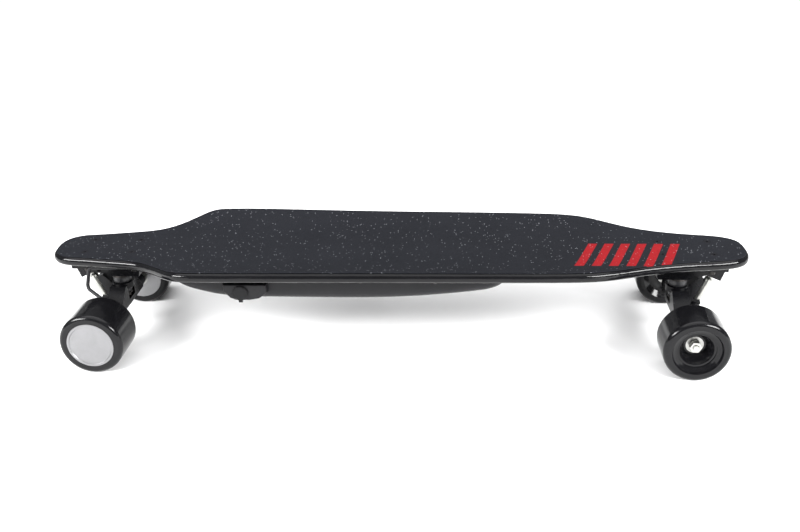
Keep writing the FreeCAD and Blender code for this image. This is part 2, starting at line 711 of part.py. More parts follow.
def make_stator(name, at):
    """Twelve teeth on a hub, cut from laminated steel."""
    body = new_body(name + "_stator")
    outer_end = place(y=118, turn=SIDE)
    hub = (("circle", "0", "0", "stator_hub"), ("circle", "0", "0", "stub_r"))
    pad(body, outer_end, hub, "stator_long")
    tooth = (("-1.5", "stator_hub - 1"), ("1.5", "stator_hub - 1"), ("1.5", "stator_r - 2.5"),
             ("4.6", "stator_r - 1.2"), ("4.2", "stator_r - 0.3"), ("0", "stator_r"),
             ("-4.2", "stator_r - 0.3"), ("-4.6", "stator_r - 1.2"), ("-1.5", "stator_r - 2.5"))
    base = pad(body, outer_end, (tooth,), "stator_long")
    pattern = body.newObject("PartDesign::PolarPattern", "PolarPattern")
    pattern.Originals = [base]
    pattern.Axis = ([f for f in body.Origin.OriginFeatures if f.Role == "Y_Axis"][0], [""])
    pattern.Angle = 360
    pattern.Occurrences = 12
    body.Tip = pattern
    body.Placement = at
    return keep(body)


def make_windings(name, at):
    """A copper coil around each tooth."""
    coils = []
    for step in range(12):
        spun = at.multiply(place(turn=FreeCAD.Rotation(V(0, 1, 0), 30 * step)))
        corner = place(-size("coil_wide") / 2, 79, 15.2)
        outer = box("coil_out", "coil_wide", "stator_long + 6", "coil_high", spun.multiply(corner))
        inner = box("coil_in", "3", "stator_long", "coil_high", spun.multiply(place(-1.5, 82, 15.2)))
        coils.append(cut("coil", outer, inner))
    return keep(group(name + "_windings", coils))


def make_stub(name, at):
    """Stub axle pressed into the hanger's end, stepped down for the outer bearing."""
    inner = "hanger_half - stub_in"
    profile = (("0", inner), ("stub_r", inner), ("stub_r", "119"), ("axle_r", "119"),
               ("axle_r", "wheel_face - 3"), ("0", "wheel_face - 3"))
    return keep(turned(name + "_stub_axle", at, (profile,), UPRIGHT))


def make_rear_wheel(side_name, side):
    name = "rear_%s" % side_name
    at = wheel_place(-size("axle_x"), side)
    make_rear_tyre(name, at)
    make_can(name, at)
    make_magnets(name, at)
    make_cap(name, at)
    make_cover(name, at)
    inner = bearing(REAR_IN + " + 0.5", "stub_r + fit", "bearing_r", "bearing_wide", at)
    outer = bearing("wheel_face - 9.5", "axle_r + fit", "bearing_r", "6.5", at)
    keep(group(name + "_bearings", [inner, outer]))
    make_stator(name, at)
    make_windings(name, at)
    make_stub(name, at)


# ---------------------------------------------------------------- tub and electrics
# A moulded tub screwed under the deck: the controller at the tail end, the battery in the middle.
TUB_LINE = ((-285, 112), (-270, 99), (-246, 90.5), (-220, 85), (-190, 82.6), (-141, 82), (-40, 82),
            (14, 83.6), (66, 87.6), (112, 93), (138, 99.5), (152, 112))
PORT = FreeCAD.Placement(V(size("port_x"), -size("port_face"), size("port_up")), SIDE)


def tub_block(name, inset, round_radius):
    """The tub's solid envelope, moved in by the inset."""
    body = new_body(name)
    half = size("tub_half") - inset
    sketch = draw(body, place(y=half, turn=SIDE), ())
    middle = sum(x for x, _ in TUB_LINE) / len(TUB_LINE)
    stretch = 1 - inset / 218
    points = [V(middle + (x - middle) * stretch, z + inset, 0) for x, z in TUB_LINE]
    curve = Part.BSplineCurve()
    curve.interpolate(points)
    sketch.addGeometry(curve)
    corners = [points[-1], V(points[-1].x, 135, 0), V(points[0].x, 135, 0), points[0]]
    for first, second in zip(corners, corners[1:]):
        sketch.addGeometry(Part.LineSegment(first, second))
    item = body.newObject("PartDesign::Pad", "Pad")
    item.Profile = sketch
    item.Length = 2 * half
    doc.recompute()
    lower = ["Edge%d" % number for number, edge in enumerate(item.Shape.Edges, start=1)
             if isinstance(edge.Curve, Part.BSplineCurve)]
    round_edges(body, item, lower, round_radius)
    return body


def ply_region(name, low, high):
    """Everything between two ply levels under the deck."""
    body = new_body(name)
    rail_cut(body, low, True, -FAR, 2 * FAR, "Pad")
    rail_cut(body, high, True, FAR, 2 * FAR)
    return body


def port_swell():
    """A low swelling on the tub's side that carries the charge port, narrower at its face."""
    body = new_body("port_swell")
    corners = ((-216.5, 97), (-207, 86), (-198, 82.4), (-179, 82.4), (-165, 85), (-152.5, 95),
               (-152.5, 112), (-216.5, 112))
    swell = pad(body, place(y=-66, turn=SIDE), (corners,), "port_deep")
    swell.TaperAngle = -12
    doc.recompute()
    rim = ["Edge%d" % number for number, edge in enumerate(swell.Shape.Edges, start=1)
           if edge.BoundBox.YLength < 1e-6 and edge.BoundBox.YMax < -80]
    round_edges(body, swell, rim, "1.5")
    return body


def tub_flange():
    """The sheet along the deck's underside that the screws go through."""
    plan = new_body("flange_plan")
    reach = "(tub_half + flange_out)"
    corners = (("-300", "-60"), ("-270", "-" + reach), ("100", "-" + reach), ("167", "-48"),
               ("167", "48"), ("100", reach), ("-270", reach), ("-300", "60"))
    pad(plan, place(z=100), (corners,), "30")
    sheet = ply_region("sheet_region", DECK_UNDER - size("tub_wall"), DECK_UNDER)
    return common("flange_sheet", plan, sheet)


def make_tub():
    skin = fuse("tub_skin", tub_block("tub_outer", 0, "tub_round"), port_swell())
    above = new_body("above_ply")
    rail_cut(above, DECK_UNDER, True, -FAR, 2 * FAR, "Pad")
    whole = fuse("tub_whole", cut("tub_trimmed", skin, above), tub_flange())
    tools = [tub_block("tub_inner", size("tub_wall"), "tub_round - tub_wall")]
    tools.append(cylinder("port_hole", "port_r - 2", "60", PORT.multiply(place(z=-36))))
    under = place(size("button_x"), 0, 70)
    tools.append(cylinder("button_hole", "button_r + gap", "30", under))
    for side in (-1, 1):
        spot = place(-320, side * size("lead_side"), size("lead_up"), TO_NOSE)
        tools.append(cylinder("lead_hole", "lead_r", "70", spot))
    for x, y in tub_screw_spots():
        tools.append(cylinder("screw_hole", "screw_r + 0.1", "30", place(x, y, 95)))
    tub = cut("enclosure", whole, fuse("tub_tools", *tools))
    tub.Label = "enclosure"
    return keep(tub)


def make_tub_screws():
    """Pan-head screws through the flange into the deck."""
    profile = (("0", "-2.5"), ("2.2", "-2.5"), ("3.8", "-1.2"), ("3.8", "-0.6"),
               ("screw_r", "-0.6"), ("screw_r", "8.9"), ("0", "8.9"))
    screws = []
    for x, y in tub_screw_spots():
        seat = place(x, y, under_side(y) - size("tub_wall"))
        screws.append(turned("screw", seat, (profile,)))
    return keep(group("enclosure_screws", screws))


def make_battery():
    """Twenty 18650 cells lying across the board in ten rows of two, under one holder comb."""
    cells, bores = [], []
    for row in range(10):
        x = size("cell_first") + row * size("cell_pitch")
        for start in (-size("cell_long") - 0.5, 0.5):
            spot = place(x, start, size("cell_up"), TO_LEFT)
            cells.append(cylinder("cell", "cell_r", "cell_long", spot))
        bore_at = place(x, -size("holder_wide"), size("cell_up"), TO_LEFT)
        bores.append(cylinder("holder_bore", "cell_r", "2 * holder_wide", bore_at))
    keep(group("battery_cells", cells))
    low_end = size("cell_first - cell_pitch / 2 - 1")
    corner = place(low_end, -size("holder_wide") / 2, size("cell_up") - 7)
    comb = box("holder_blank", "10 * cell_pitch + 2", "holder_wide", "cell_r + 8.5", corner)
    holder = cut("cell_holder", comb, fuse("holder_bores", *bores))
    holder.Label = "cell_holder"
    keep(holder)


def make_boards():
    """The battery board beyond the cells, and the motor controller on its aluminium plate."""
    board = box("battery_board", "48", "50", "board_thick", place(67, -25, 101))
    board.Label = "battery_board"
    keep(board)
    plate = box("heat_spreader", "68", "100", "3", place(-215, -50, 88))
    plate.Label = "heat_spreader"
    keep(plate)
    parts = [box("controller_board", "68", "100", "board_thick", place(-215, -50, 96))]
    for step in range(5):
        parts.append(box("transistor", "10", "14", "5", place(-211 + 13 * step, 20, 91)))
    for step in range(4):
        parts.append(cylinder("capacitor", "6", "11", place(-205 + 15 * step, -14, 97.6)))
    controller = fuse("motor_controller", *parts)
    controller.Label = "motor_controller"
    keep(controller)


def make_button():
    """Round power button that slides up into the tub."""
    profile = (("0", "0"), ("button_r - 1", "0"), ("button_r", "0.8"), ("button_r", "5"),
               ("button_r + 1.6", "5"), ("button_r + 1.6", "6.5"), ("0", "6.5"))
    low = place(size("button_x"), 0, size("tub_low - button_throw"))
    return keep(turned("power_button", low, (profile,)))


def make_port():
    """Round charge socket in its bore and the rubber plug that hinges over it."""
    shell = (("throat_r", "-14"), ("port_r - 2", "-14"), ("port_r - 2", "-1"), ("throat_r", "-1"))
    floor = (("0", "-14"), ("throat_r", "-14"), ("throat_r", "-12.5"), ("0", "-12.5"))
    rings = [turned("socket_ring", PORT, (profile,)) for profile in (shell, floor)]
    centre = cylinder("charge_pin", "1", "9", PORT.multiply(place(z=-12.5)))
    socket = fuse("charge_socket", *rings, centre)
    socket.Label = "charge_socket"
    keep(socket)
    plug = (("0", "0.4"), ("port_r - 0.6", "0.4"), ("port_r", "1"), ("port_r", "2.2"),
            ("port_r - 1", "3"), ("0", "3"))
    disc = turned("plug_disc", PORT, (plug,))
    tab_at = PORT.multiply(place(-2.5, -size("port_r") - 2.4, 0.6))
    cap = fuse("port_cap", disc, box("plug_tab", "5", "3", "2", tab_at))
    cap.Label = "port_cap"
    keep(cap)


# ---------------------------------------------------------------- motor leads
# One round three-core lead to each hub motor, held by the tub, a clip and the hanger.
def lead_route(side):
    """Corners of one lead: up off the controller, out of the tub's tail end, along beside the
    baseplate, round the hanger and down into the bar over the stub axle."""
    across, high, entry = side * size("lead_side"), size("lead_up"), side * size("lead_entry")
    axle = -size("axle_x")
    return [V(-208, across, 97.6), V(-208, across, high), V(axle - 28, across, high),
            V(axle - 34, side * 34, 76), V(axle, entry, 66), V(axle, entry, 48)]


def rounded_wire(corners, bend):
    """Straight runs joined by tangent arcs."""
    edges = []
    start = corners[0]
    for corner, onward in zip(corners[1:-1], corners[2:]):
        back = (start - corner).normalize()
        ahead = (onward - corner).normalize()
        half = back.getAngle(ahead) / 2
        trim = bend / math.tan(half)
        first, last = corner + back * trim, corner + ahead * trim
        middle = corner + (back + ahead).normalize() * (bend / math.sin(half) - bend)
        edges.append(Part.LineSegment(start, first).toShape())
        edges.append(Part.Arc(first, middle, last).toShape())
        start = last
    edges.append(Part.LineSegment(start, corners[-1]).toShape())
    return Part.Wire(edges)


def make_leads():
    """The motor leads, each swept along its held route, and the clips that hold them."""
    clips = []
    for side_name, side in SIDES:
        route = lead_route(side)
        wire = rounded_wire(route, size("lead_bend"))
        ring = Part.Wire(Part.Circle(route[0], V(0, 0, 1), size("lead_r")).toShape())
        lead = doc.addObject("Part::Feature", "rear_%s_motor_lead" % side_name)
        lead.Label = "rear_%s_motor_lead" % side_name
        lead.Shape = wire.makePipeShell([ring], True, False)
        keep(lead)
        across, high = side * size("lead_side"), size("lead_up")
        tall = "deck_top - deck_thick - lead_up + 4"
        block = box("clip_block", "8", "10", tall, place(-318, across - 5, high - 4))
        bore = cylinder("clip_bore", "lead_r", "20", place(-324, across, high, TO_NOSE))
        clips.append(cut("clip", block, bore))
    keep(group("lead_clips", clips))


def write_parts():
    """Check every sub-part, then write each to its own file."""
    doc.recompute()
    for item in doc.Objects:
        if "Invalid" in item.State or "Error" in item.State:
            raise RuntimeError("%s is in state %s" % (item.Label, item.State))
    for item in NODES:
        if item.Shape.isNull() or not item.Shape.isValid():
            raise RuntimeError("%s has no valid shape" % item.Label)
    os.makedirs("parts", exist_ok=True)
    for item in NODES:
        item.Shape.exportStep("parts/%s.step" % item.Label)


make_deck()
make_grip()
make_truck_bolts()
make_truck_nuts()
make_trucks()
for side_name, side in SIDES:
    make_front_wheel(side_name, side)
    make_rear_wheel(side_name, side)
make_front_axle()
make_tub()
make_tub_screws()
make_battery()
make_boards()
make_button()
make_port()
make_leads()
write_parts()
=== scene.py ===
import json
import math

import bmesh
import bpy
from mathutils import Matrix, Vector


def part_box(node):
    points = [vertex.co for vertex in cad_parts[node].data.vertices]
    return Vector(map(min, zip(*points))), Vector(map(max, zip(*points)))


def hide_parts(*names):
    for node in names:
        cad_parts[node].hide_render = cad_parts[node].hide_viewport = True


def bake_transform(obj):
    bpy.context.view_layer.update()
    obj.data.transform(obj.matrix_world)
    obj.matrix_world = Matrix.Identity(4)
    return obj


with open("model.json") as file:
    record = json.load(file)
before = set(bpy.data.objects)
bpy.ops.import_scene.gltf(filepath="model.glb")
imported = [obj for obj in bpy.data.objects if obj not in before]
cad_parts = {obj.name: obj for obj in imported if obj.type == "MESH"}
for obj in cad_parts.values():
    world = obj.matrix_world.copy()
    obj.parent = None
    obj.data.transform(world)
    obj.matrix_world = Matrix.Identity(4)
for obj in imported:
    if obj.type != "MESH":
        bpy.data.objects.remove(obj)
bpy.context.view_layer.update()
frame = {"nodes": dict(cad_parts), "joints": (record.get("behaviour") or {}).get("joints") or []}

# ---------------------------------------------------------------- room
# A pale sweep of floor under a big soft sky, with long softboxes that draw the bright streaks
# along the lacquered edge. The camera stands a little above the board, on the charge-port side.


class Wire:
    """A node socket that can be added, scaled and compared as if it were a number."""

    def __init__(self, tree, socket=None):
        self.tree = tree
        self.socket = socket

    def node(self, kind, settings=None, sockets=None, out=0):
        """A node of this kind: its settings first, then values or wires on its sockets."""
        made = self.tree.nodes.new("ShaderNode" + kind)
        for name, value in (settings or {}).items():
            setattr(made, name, value)
        for name, value in (sockets or {}).items():
            if isinstance(value, Wire):
                self.tree.links.new(value.socket, made.inputs[name])
            else:
                made.inputs[name].default_value = value
        return Wire(self.tree, made.outputs[out])

    def sum_of(self, operation, first, second=0.0, third=0.0):
        return self.node("Math", {"operation": operation}, {0: first, 1: second, 2: third})

    def __add__(self, other):
        return self.sum_of("ADD", self, other)

    def __radd__(self, other):
        return self.sum_of("ADD", other, self)

    def __sub__(self, other):
        return self.sum_of("SUBTRACT", self, other)

    def __rsub__(self, other):
        return self.sum_of("SUBTRACT", other, self)

    def __mul__(self, other):
        return self.sum_of("MULTIPLY", self, other)

    def __rmul__(self, other):
        return self.sum_of("MULTIPLY", other, self)

    def __truediv__(self, other):
        return self.sum_of("DIVIDE", self, other)

    def __pow__(self, other):
        return self.sum_of("POWER", self, other)

    def over(self, level, width):
        """0 below a level and 1 above it, with a soft step."""
        sockets = {"Value": self, "From Min": level - width, "From Max": level + width}
        return self.node("MapRange", {"interpolation_type": "SMOOTHSTEP"}, sockets)

    def noise(self, scale, detail=2.0, rough=0.5):
        sockets = {"Vector": self, "Scale": scale, "Detail": detail, "Roughness": rough}
        return self.node("TexNoise", {}, sockets, 0)

    def part(self, axis):
        return self.node("SeparateXYZ", {}, {0: self}, axis)

    def mix(self, first, second):
        """A colour between two others, by this wire."""
        node = self.node("Mix", {"data_type": "RGBA"}, {0: self}, 2)
        for slot, value in ((6, first), (7, second)):
            if isinstance(value, Wire):
                self.tree.links.new(value.socket, node.socket.node.inputs[slot])
            else:
                node.socket.node.inputs[slot].default_value = (*value, 1)
        return node

    def bump(self, strength, distance):
        sockets = {"Height": self, "Strength": strength, "Distance": distance}
        return self.node("Bump", {}, sockets)


def new_finish(name, **constants):
    """A material with plain values on its shader, and a wire with the object's coordinates."""
    made = bpy.data.materials.new(name)
    made.use_nodes = True
    shader = made.node_tree.nodes["Principled BSDF"]
    for socket, value in constants.items():
        shader.inputs[socket.replace("_", " ")].default_value = value
    spot = Wire(made.node_tree).node("TexCoord", {}, {}, "Object")
    return made, shader, spot


def feed(shader, **wires):
    """Join wires to the shader's sockets by name."""
    for name, wire in wires.items():
        wire.tree.links.new(wire.socket, shader.inputs[name.replace("_", " ")])


def dress(made, *nodes):
    """Put a material on CAD nodes."""
    for node in nodes:
        for slot in frame["nodes"][node].material_slots:
            slot.material = made


scene = bpy.context.scene
scene.view_settings.view_transform = "Standard"

eye = bpy.data.objects.new("camera", bpy.data.cameras.new("camera"))
eye.data.sensor_width = 36
eye.data.lens = 41.8
eye.data.clip_end = 50
turn = Matrix.Rotation(0.0838, 3, "Z") @ Matrix.Rotation(-0.4386, 3, "X")
turn = turn @ Matrix.Rotation(0.0304, 3, "Y") @ Matrix.Rotation(math.pi / 2, 3, "X")
eye.matrix_world = Matrix.Translation((0.1044, -1.1337, 0.6295)) @ turn.to_4x4()
scene.collection.objects.link(eye)
scene.camera = eye

world = bpy.data.worlds.new("sky")
world.use_nodes = True
world.node_tree.nodes["Background"].inputs["Color"].default_value = (0.97, 0.98, 1, 1)
world.node_tree.nodes["Background"].inputs["Strength"].default_value = 0.30
scene.world = world


def softbox(name, power, size, place, aim):
    """A rectangular soft light that points at a spot."""
    lamp = bpy.data.lights.new(name, "AREA")
    lamp.shape = "RECTANGLE"
    lamp.energy = power
    lamp.size, lamp.size_y = size
    holder = bpy.data.objects.new(name, lamp)
    facing = (Vector(aim) - Vector(place)).to_track_quat("-Z", "Y")
    holder.matrix_world = Matrix.Translation(place) @ facing.to_matrix().to_4x4()
    scene.collection.objects.link(holder)


softbox("overhead", 9, (2.6, 1.3), (0, 0.5, 1.9), (0, 0, 0))
softbox("tail_side", 75, (1.1, 0.5), (-1.55, -1.07, 1.0), (-0.42, -0.05, 0.12))
softbox("nose_side", 75, (1.1, 0.5), (1.54, -1.05, 1.0), (0.42, -0.05, 0.12))

daylight = bpy.data.lights.new("daylight", "SUN")
daylight.energy = 2.3
daylight.angle = 1.3
window = bpy.data.objects.new("daylight", daylight)
scene.collection.objects.link(window)

floor_mesh = bpy.data.meshes.new("floor")
floor_mesh.from_pydata([(-8, -8, 0), (8, -8, 0), (8, 8, 0), (-8, 8, 0)], [], [(0, 1, 2, 3)])
floor = bpy.data.objects.new("floor", floor_mesh)
scene.collection.objects.link(floor)
paper, shader, spot = new_finish("floor_paper", Roughness=0.9)
feed(shader, Base_Color=spot.noise(3.0).mix((0.93, 0.93, 0.93), (0.96, 0.96, 0.96)))
floor.data.materials.append(paper)

# ---------------------------------------------------------------- deck
# Maple plies pressed with raised rails, edges rounded over and sprayed all over in thick gloss
# black lacquer. It has hairline scuffs and a little dust, more of it along the rounded edge.

lacquer, shader, spot = new_finish("black_lacquer", Specular_IOR_Level=0.2)
cloud = spot.noise(9.0, 3.0)
stretched = spot.node("Mapping", {}, {0: spot, "Scale": (5, 130, 130)})
hairline = stretched.noise(6.0, 5.0, 0.7).over(0.66, 0.03)
speck = spot.noise(800.0, 1.0).over(0.74, 0.02)
feed(shader, Base_Color=(cloud * 0.7 + speck * 0.5).mix((0.002, 0.002, 0.0025), (0.008, 0.008, 0.009)),
     Roughness=0.07 + cloud * 0.05 + hairline * 0.12 + speck * 0.3,
     Normal=(spot.noise(180.0, 2.0) + hairline * 0.2).bump(0.04, 0.0008))
dress(lacquer, "deck")

# ---------------------------------------------------------------- grip tape
# Coarse black grit on a sticky sheet, trimmed a few millimetres inside the edge. A row of six
# slanted red slashes is printed near the nose. Scattered grains are smoother and carry a painted glint,
# and the middle is worn smoother.

grit, shader, spot = new_finish("grip_grit", Specular_IOR_Level=0.08)
grains = spot.node("TexVoronoi", {}, {"Vector": spot, "Scale": 1500.0}, "Distance")
tint = spot.node("TexVoronoi", {}, {"Vector": spot, "Scale": 1500.0}, "Color").part(0)
flake = spot.node("TexVoronoi", {}, {"Vector": spot, "Scale": 500.0}, "Distance")
chosen = spot.node("TexVoronoi", {}, {"Vector": spot, "Scale": 500.0}, "Color").part(1)
# Chosen grains: a painted glint (light grey base colour standing in for a highlight) and a smoother
# surface.
painted_glint_grains = chosen.over(0.93, 0.01) * (1 - flake.over(0.24, 0.06))
worn = spot.noise(11.0, 4.0, 0.6)
black = (tint * 0.7 + worn * 0.5).mix((0.005, 0.0056, 0.0072), (0.014, 0.0148, 0.0185))
row_start, row_end, row_near, row_far = 0.2562, 0.384, -0.062, 0.012
slash_lean, slash_pitch, slash_share, soft_edge = 0.35, 0.0215, 0.55, 0.0004
slant = spot.part(0) - spot.part(1) * slash_lean
place = (slant - row_start) / slash_pitch
stripe = place - place.sum_of("FLOOR", place)
row = slant.over(row_start, soft_edge) * (1 - slant.over(row_end, soft_edge))
depth = spot.part(1).over(row_near, soft_edge) * (1 - spot.part(1).over(row_far, soft_edge))
inked = row * depth * (1 - stripe.over(slash_share, 0.02)) * (0.55 + tint * 0.45)
printed = inked.mix(black, (0.26, 0.008, 0.011))
# Painted glint: light grey base colour on the chosen grains; their lower roughness is real.
feed(shader, Base_Color=painted_glint_grains.mix(printed, (0.32, 0.33, 0.36)),
     Roughness=0.82 - painted_glint_grains * 0.45 - worn * 0.1,
     Normal=((1 - grains) + worn * 0.3).bump(0.28, 0.0005))
dress(grit, "grip_tape")

# ---------------------------------------------------------------- trucks
# Cast aluminium baseplates and hangers in gloss black powder coat, with black hardware. The paint
# has an orange-peel skin and rubs through to bright metal at a few knocked spots.

powder, shader, spot = new_finish("black_powder_coat", Specular_IOR_Level=0.16)
peel = spot.noise(520.0, 2.0)
knock = spot.noise(150.0, 4.0, 0.7).over(0.735, 0.012)
coat = spot.noise(40.0, 3.0).mix((0.002, 0.002, 0.0025), (0.006, 0.006, 0.007))
feed(shader, Base_Color=knock.mix(coat, (0.30, 0.30, 0.31)),
     Metallic=knock * 0.9, Roughness=0.14 + spot.noise(60.0) * 0.14 + knock * 0.15,
     Normal=peel.bump(0.14, 0.0006))
dress(powder, "front_baseplate", "rear_baseplate", "front_hanger", "rear_hanger")

# Bright studs, axle parts and nuts are zinc-plated steel, a little cloudy with fine turning lines.
zinc, shader, spot = new_finish("bright_zinc", Metallic=1.0)
lines = spot.node("TexWave", {"wave_type": "BANDS", "bands_direction": "Z"},
                  {"Vector": spot, "Scale": 600.0, "Distortion": 1.5, "Detail": 2.0})
feed(shader, Base_Color=spot.noise(120.0, 4.0).mix((0.34, 0.34, 0.32), (0.54, 0.54, 0.51)),
     Roughness=0.24 + spot.noise(300.0, 3.0) * 0.2, Normal=lines.bump(0.06, 0.0002))
dress(zinc, "front_pivot_rod", "rear_pivot_rod", "front_pivot_nut", "rear_pivot_nut", "front_axle",
      "front_axle_collars", "front_axle_nuts", "rear_left_stub_axle", "rear_right_stub_axle")

# Bolts, kingpins, washers and screws are black-oxide steel, oily and slightly browned.
oxide, shader, spot = new_finish("black_oxide", Metallic=0.7)
brown = spot.noise(210.0, 4.0, 0.6)
feed(shader, Base_Color=brown.mix((0.010, 0.010, 0.011), (0.045, 0.040, 0.036)),
     Roughness=0.36 + spot.noise(90.0) * 0.2, Normal=spot.noise(1800.0).bump(0.12, 0.0003))
dress(oxide, "truck_nuts", "kingpins", "kingpin_nuts", "kingpin_washers", "enclosure_screws")

# The truck bolts are painted to go with the grip, and grit has rubbed their flat heads dull.
paint, shader, spot = new_finish("bolt_paint", Specular_IOR_Level=0.08)
dull = spot.noise(400.0, 4.0, 0.6)
feed(shader, Base_Color=dull.mix((0.005, 0.005, 0.006), (0.015, 0.015, 0.018)),
     Roughness=0.6 + dull * 0.2, Normal=spot.noise(1500.0).bump(0.15, 0.0003))
dress(paint, "truck_bolts")

# Riser pads and the port plug are moulded rubber; the pivot cups and lead clips are matt nylon.
rubber, shader, spot = new_finish("matt_rubber", Specular_IOR_Level=0.14)
bloom = spot.noise(70.0, 4.0, 0.6)
feed(shader, Base_Color=bloom.mix((0.004, 0.004, 0.0045), (0.011, 0.011, 0.012)),
     Roughness=0.52 + bloom * 0.25, Normal=spot.noise(1500.0, 2.0).bump(0.18, 0.0004))
dress(rubber, "riser_pads", "port_cap", "pivot_cups", "lead_clips")

# ---------------------------------------------------------------- bushings
# Cast urethane, poured in moulds. Real bushings squeeze as the truck steers; these are still shapes,
# each with a ring end against the hanger and a washer end.

urethane, shader, spot = new_finish("bushing_urethane", Specular_IOR_Level=0.45)
feed(shader, Base_Color=spot.noise(60.0, 3.0).mix((0.008, 0.008, 0.009), (0.020, 0.020, 0.022)),
     Roughness=0.30 + spot.noise(160.0, 3.0) * 0.2, Normal=spot.noise(700.0).bump(0.08, 0.0004))


def lathe(name, profile, centre, finish, spokes=64):
    """A closed ring turned about an upright axis from (radius, height) points."""
    shape = bmesh.new()
    rings = []
    for step in range(spokes):
        angle = 2 * math.pi * step / spokes
        ahead, aside = math.cos(angle), math.sin(angle)
        rings.append([shape.verts.new((centre[0] + r * ahead, centre[1] + r * aside, z))
                      for r, z in profile])
    count = len(profile)
    for here, after in zip(rings, rings[1:] + rings[:1]):
        for step in range(count):
            nxt = (step + 1) % count
            shape.faces.new((here[step], here[nxt], after[nxt], after[step]))
    bmesh.ops.recalc_face_normals(shape, faces=shape.faces)
    mesh = bpy.data.meshes.new(name)
    shape.to_mesh(mesh)
    shape.free()
    mesh.shade_smooth()
    made = bpy.data.objects.new(name, mesh)
    made.data.materials.append(finish)
    scene.collection.objects.link(made)
    return made


def bushing_profile(bore, ring_end, washer_end, ring_r, washer_r, bulge):
    """Outline of a bushing with a soft bulge and small rounded lips."""
    outer = []
    for step in range(13):
        t = step / 12
        lip = 0.0006 * (max(0, 1 - t / 0.1) ** 2 + max(0, (t - 0.9) / 0.1) ** 2)
        radius = ring_r + (washer_r - ring_r) * t + bulge * math.sin(math.pi * t) - lip
        outer.append((radius, ring_end + (washer_end - ring_end) * t))
    return outer + [(bore, washer_end), (bore, ring_end)]


board_bushing_high, road_bushing_high, bore_share = 0.010, 0.008, 0.385
for end in ("front", "rear"):
    low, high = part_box(end + "_bushings")
    middle = ((low.x + high.x) / 2, 0)
    wide = (high.x - low.x) / 2
    bore = wide * bore_share
    board_ring, board_top = high.z - board_bushing_high, high.z
    road_ring, road_foot = low.z + road_bushing_high, low.z
    board_profile = bushing_profile(bore, board_ring, board_top, wide - 0.0008, wide - 0.0008, 0.0008)
    upper = lathe(end + "_board_bushing", board_profile, middle, urethane)
    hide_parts(end + "_bushings")
    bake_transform(upper)
    road_profile = bushing_profile(bore, road_ring, road_foot, wide - 0.0004, wide - 0.0026, 0.0003)
    lower = lathe(end + "_road_bushing", road_profile, middle, urethane)
    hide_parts(end + "_bushings")
    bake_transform(lower)

# ---------------------------------------------------------------- wheels
# Poured urethane tyres, gloss black from the mould and polished by the road on the tread, with
# fine scuffs round the tread and dust in the recess.

gloss, shader, spot = new_finish("gloss_urethane", Specular_IOR_Level=0.2)
tone = spot.noise(45.0, 4.0, 0.6)
band = spot.node("Mapping", {}, {0: spot, "Scale": (20, 400, 20)})
scuff = band.noise(3.0, 4.0, 0.7).over(0.64, 0.04)
feed(shader, Base_Color=(tone * 0.8 + scuff * 0.3).mix((0.002, 0.002, 0.0025), (0.008, 0.008, 0.009)),
     Roughness=0.08 + tone * 0.10 + scuff * 0.10,
     Normal=(spot.noise(220.0) + scuff * 0.2).bump(0.05, 0.0006))
dress(gloss, "front_left_tyre", "front_right_tyre", "rear_left_tyre", "rear_right_tyre",
      "front_left_core", "front_right_core")

# Hub caps and inner covers are turned aluminium, satin anodised, with fine circular tool marks.
# Bearing rings are ground steel. Both have faint smears from handling.


def turned_metal(name, low_tone, high_tone, rough, axle):
    """Bright metal with circular tool marks about an axle that runs across the board."""
    made, shader, spot = new_finish(name, Metallic=1.0)
    off_x, off_z = spot.part(0) - axle[0], spot.part(2) - axle[1]
    radius = (off_x * off_x + off_z * off_z) ** 0.5
    marks = (radius * 5200.0).sum_of("SINE", radius * 5200.0)
    smear = spot.noise(55.0, 4.0, 0.6)
    feed(shader, Base_Color=smear.mix(low_tone, high_tone),
         Roughness=rough + smear * 0.14 + marks * 0.015, Normal=marks.bump(0.05, 0.0001))
    return made


for end in ("rear", "front"):
    spin = [joint for joint in frame["joints"] if joint["name"] == end + "_left_spin"][0]
    axle = (spin["pos_m"][0], spin["pos_m"][2])
    ground = turned_metal(end + "_ground_steel", (0.26, 0.26, 0.25), (0.42, 0.42, 0.40), 0.24, axle)
    dress(ground, end + "_left_bearings", end + "_right_bearings")
    if end == "rear":
        satin = turned_metal("satin_aluminium", (0.19, 0.19, 0.194), (0.27, 0.27, 0.276), 0.34, axle)
        dress(satin, "rear_left_cap", "rear_right_cap", "rear_left_cover", "rear_right_cover")

# Inside the hub motors: a rolled steel can with nickel-plated magnets, and a stator of stamped
# steel sheets wound with enamelled copper wire.

iron, shader, spot = new_finish("motor_steel", Metallic=0.85)
sheets = spot.node("TexWave", {"wave_type": "BANDS", "bands_direction": "Y"},
                   {"Vector": spot, "Scale": 500.0, "Distortion": 0.4})
feed(shader, Base_Color=spot.noise(90.0, 4.0).mix((0.10, 0.10, 0.10), (0.26, 0.26, 0.27)),
     Roughness=0.36 + spot.noise(500.0) * 0.2, Normal=sheets.bump(0.2, 0.0002))
dress(iron, "rear_left_can", "rear_right_can", "rear_left_magnets", "rear_right_magnets",
      "rear_left_stator", "rear_right_stator")

copper, shader, spot = new_finish("enamelled_copper", Metallic=0.9)
turns = spot.node("TexWave", {"wave_type": "BANDS", "bands_direction": "X"},
                  {"Vector": spot, "Scale": 700.0, "Distortion": 0.8})
feed(shader, Base_Color=spot.noise(300.0, 3.0).mix((0.40, 0.13, 0.05), (0.62, 0.26, 0.10)),
     Roughness=0.26 + spot.noise(500.0) * 0.2, Normal=turns.bump(0.35, 0.0003))
dress(copper, "rear_left_windings", "rear_right_windings")

# ---------------------------------------------------------------- motor leads
# Round black lead with a soft PVC jacket. It leaves the tub's tail end, drops past the baseplate
# and enters the hanger's bar over the stub axle, as a still tube that does not follow the steering.

jacket, shader, spot = new_finish("lead_jacket", Specular_IOR_Level=0.22)
feed(shader, Base_Color=spot.noise(80.0, 3.0).mix((0.006, 0.006, 0.007), (0.018, 0.018, 0.020)),
     Roughness=0.34 + spot.noise(200.0, 3.0) * 0.2, Normal=spot.noise(900.0).bump(0.10, 0.0003))


